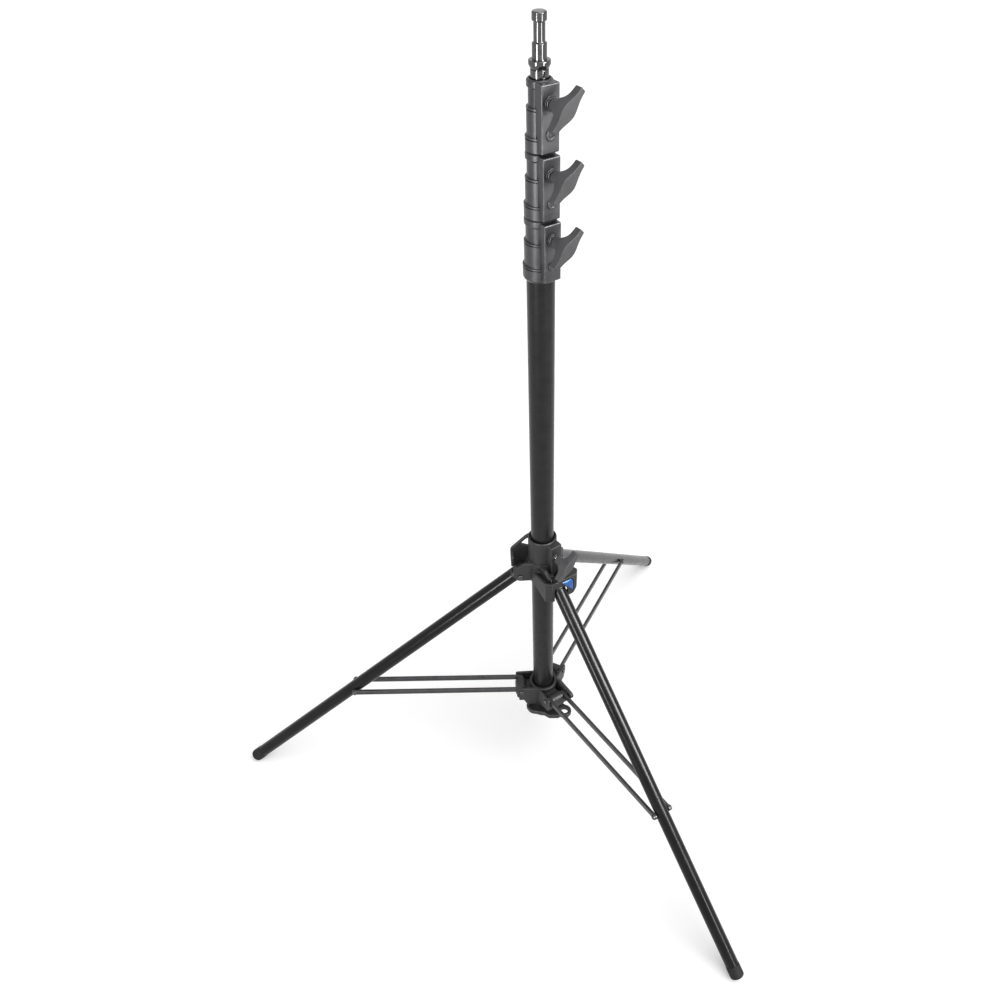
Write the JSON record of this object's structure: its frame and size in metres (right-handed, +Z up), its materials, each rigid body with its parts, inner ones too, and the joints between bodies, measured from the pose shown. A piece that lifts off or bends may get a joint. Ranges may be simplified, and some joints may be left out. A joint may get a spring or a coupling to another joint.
{
  "type": "lighting stand",
  "caption": "Folding lighting stand with telescoping tubes, clamp collars with wing knobs, a lamp stud on top, and three braced tubular legs on a sliding hub.",
  "frame": {"origin": "floor level, at the centre of the rectangle round the three feet", "axes": "+Z up the column to the lamp stud; the left leg points along -X, the front leg 60 degrees towards -Y from +X and the rear leg 60 degrees towards +Y"},
  "size_m": [0.8458, 0.9728, 1.242],
  "materials": {
    "black_tube": "black anodised, glossy on the legs",
    "black_chrome": "black chrome plated",
    "grey_casting": "satin charcoal die casting",
    "hub_plastic": "fine grained moulding",
    "knob_plastic": "textured",
    "white_nylon": "natural nylon",
    "steel": "zinc plated",
    "brass": "plain",
    "rubber": "matt",
    "blue_gloss": "glossy",
    "bar_paint": "satin dark grey"
  },
  "bodies": {
    "column": {"base_tube": "black_tube", "base_plug": "hub_plastic", "collar_lower": "grey_casting", "brace_hub": "hub_plastic", "brace_pin_left": "steel", "brace_pin_front": "steel", "brace_pin_rear": "steel"},
    "riser_1": {"riser_tube_1": "black_tube", "riser_glide_1": "white_nylon", "collar_middle": "grey_casting"},
    "riser_2": {"riser_tube_2": "black_tube", "riser_glide_2": "white_nylon", "collar_upper": "grey_casting"},
    "riser_3": {"riser_tube_3": "black_tube", "riser_glide_3": "white_nylon", "top_stud": "black_chrome"},
    "leg_hub": {"leg_hub": "hub_plastic", "hub_liner": "hub_plastic", "hub_badge": "blue_gloss", "leg_pin_left": "steel", "leg_pin_front": "steel", "leg_pin_rear": "steel"},
    "leg_left": {"leg_tube_left": "black_tube", "leg_knuckle_left": "hub_plastic", "foot_left": "rubber"},
    "brace_left": {"brace_left_a": "bar_paint", "brace_left_b": "bar_paint", "brace_rivet_left_a": "steel", "brace_rivet_left_b": "steel"},
    "leg_front": {"leg_tube_front": "black_tube", "leg_knuckle_front": "hub_plastic", "foot_front": "rubber"},
    "brace_front": {"brace_front_a": "bar_paint", "brace_front_b": "bar_paint", "brace_rivet_front_a": "steel", "brace_rivet_front_b": "steel"},
    "leg_rear": {"leg_tube_rear": "black_tube", "leg_knuckle_rear": "hub_plastic", "foot_rear": "rubber"},
    "brace_rear": {"brace_rear_a": "bar_paint", "brace_rear_b": "bar_paint", "brace_rivet_rear_a": "steel", "brace_rivet_rear_b": "steel"},
    "pad_lower": {"pad_lower": "brass"},
    "knob_lower": {"knob_lower": "knob_plastic", "screw_lower": "steel"},
    "pad_middle": {"pad_middle": "brass"},
    "knob_middle": {"knob_middle": "knob_plastic", "screw_middle": "steel"},
    "pad_upper": {"pad_upper": "brass"},
    "knob_upper": {"knob_upper": "knob_plastic", "screw_upper": "steel"},
    "pad_hub": {"pad_hub": "brass"},
    "knob_hub": {"knob_hub": "knob_plastic", "screw_hub": "steel"}
  },
  "joints": [
    {"name": "riser_slide_1", "type": "slide", "parent": "column", "child": "riser_1", "axis": [0, 0, 1], "range_m": [0, 0.8]},
    {"name": "riser_slide_2", "type": "slide", "parent": "riser_1", "child": "riser_2", "axis": [0, 0, 1], "range_m": [0, 0.8]},
    {"name": "riser_slide_3", "type": "slide", "parent": "riser_2", "child": "riser_3", "axis": [0, 0, 1], "range_m": [0, 0.8]},
    {"name": "hub_slide", "type": "slide", "parent": "column", "child": "leg_hub", "axis": [0, 0, 1], "range_m": [0, 0.40971]},
    {"name": "leg_fold_left", "type": "hinge", "parent": "leg_hub", "child": "leg_left", "pos_m": [0.10068, 0, 0.4694], "axis": [0, -1, 0], "range_deg": [0, 44.21]},
    {"name": "brace_fold_left", "type": "hinge", "parent": "column", "child": "brace_left", "pos_m": [0.09668, 0, 0.182], "axis": [0, 1, 0], "range_deg": [0, 81.66]},
    {"name": "leg_fold_front", "type": "hinge", "parent": "leg_hub", "child": "leg_front", "pos_m": [0.15468, -0.03118, 0.4694], "axis": [0.866, 0.5, 0], "range_deg": [0, 44.21]},
    {"name": "brace_fold_front", "type": "hinge", "parent": "column", "child": "brace_front", "pos_m": [0.15668, -0.03464, 0.182], "axis": [-0.866, -0.5, 0], "range_deg": [0, 81.66]},
    {"name": "leg_fold_rear", "type": "hinge", "parent": "leg_hub", "child": "leg_rear", "pos_m": [0.15468, 0.03118, 0.4694], "axis": [-0.866, 0.5, 0], "range_deg": [0, 44.21]},
    {"name": "brace_fold_rear", "type": "hinge", "parent": "column", "child": "brace_rear", "pos_m": [0.15668, 0.03464, 0.182], "axis": [0.866, -0.5, 0], "range_deg": [0, 81.66]},
    {"name": "pad_slide_lower", "type": "slide", "parent": "column", "child": "pad_lower", "axis": [0.5, -0.866, 0], "range_m": [0, 0.00151]},
    {"name": "knob_turn_lower", "type": "hinge", "parent": "pad_lower", "child": "knob_lower", "pos_m": [0.14968, -0.02252, 1.0172], "axis": [0.5, -0.866, 0], "range_deg": [0, 360]},
    {"name": "pad_slide_middle", "type": "slide", "parent": "riser_1", "child": "pad_middle", "axis": [0.5, -0.866, 0], "range_m": [0, 0.00151]},
    {"name": "knob_turn_middle", "type": "hinge", "parent": "pad_middle", "child": "knob_middle", "pos_m": [0.14843, -0.02035, 1.0895], "axis": [0.5, -0.866, 0], "range_deg": [0, 360]},
    {"name": "pad_slide_upper", "type": "slide", "parent": "riser_2", "child": "pad_upper", "axis": [0.5, -0.866, 0], "range_m": [0, 0.00151]},
    {"name": "knob_turn_upper", "type": "hinge", "parent": "pad_upper", "child": "knob_upper", "pos_m": [0.14718, -0.01819, 1.1618], "axis": [0.5, -0.866, 0], "range_deg": [0, 360]},
    {"name": "pad_slide_hub", "type": "slide", "parent": "leg_hub", "child": "pad_hub", "axis": [0.5878, -0.809, 0], "range_m": [0, 0.00151]},
    {"name": "knob_turn_hub", "type": "hinge", "parent": "pad_hub", "child": "knob_hub", "pos_m": [0.1549, -0.02508, 0.517], "axis": [0.5878, -0.809, 0], "range_deg": [0, 360]}
  ],
  "couplings": [
    {"joint": "leg_fold_left", "follows": "hub_slide", "rad_per_m": 1.8827},
    {"joint": "brace_fold_left", "follows": "hub_slide", "rad_per_m": 3.478},
    {"joint": "leg_fold_front", "follows": "hub_slide", "rad_per_m": 1.8827},
    {"joint": "brace_fold_front", "follows": "hub_slide", "rad_per_m": 3.478},
    {"joint": "leg_fold_rear", "follows": "hub_slide", "rad_per_m": 1.8827},
    {"joint": "brace_fold_rear", "follows": "hub_slide", "rad_per_m": 3.478},
    {"joint": "pad_slide_lower", "follows": "knob_turn_lower", "m_per_rad": 0.00023873},
    {"joint": "pad_slide_middle", "follows": "knob_turn_middle", "m_per_rad": 0.00023873},
    {"joint": "pad_slide_upper", "follows": "knob_turn_upper", "m_per_rad": 0.00023873},
    {"joint": "pad_slide_hub", "follows": "knob_turn_hub", "m_per_rad": 0.00023873}
  ]
}
